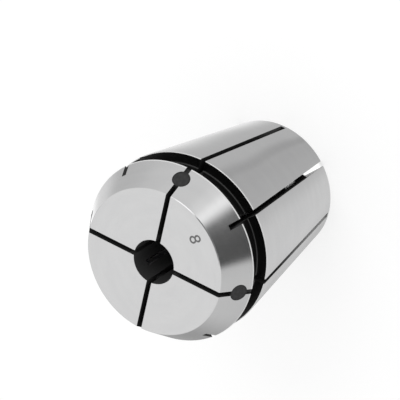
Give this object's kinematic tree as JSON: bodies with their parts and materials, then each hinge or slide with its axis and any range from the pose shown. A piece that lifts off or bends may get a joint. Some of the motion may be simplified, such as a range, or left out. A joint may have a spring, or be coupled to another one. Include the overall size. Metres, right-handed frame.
{
  "type": "er collet",
  "caption": "Spring collet with a steep nose cone, a groove for the nut and a long rear taper, slotted from both ends, with rubber seals in its front slots.",
  "frame": {"origin": "centre of the rear face, the small end that the collet stands on", "axes": "+Z along the bore axis towards the nose, +X through the middle of a slot that is open at the front face"},
  "size_m": [0.033, 0.033, 0.04],
  "materials": {
    "collet_steel": "hardened steel, ground bright on the face, cones and bore, left dark in the groove and slots",
    "seal_rubber": "moulded dark grey rubber, matt"
  },
  "bodies": {
    "root": {"collet_body": "collet_steel", "seal_plug_1": "seal_rubber", "seal_plug_2": "seal_rubber", "seal_plug_3": "seal_rubber", "seal_plug_4": "seal_rubber"}
  },
  "joints": []
}
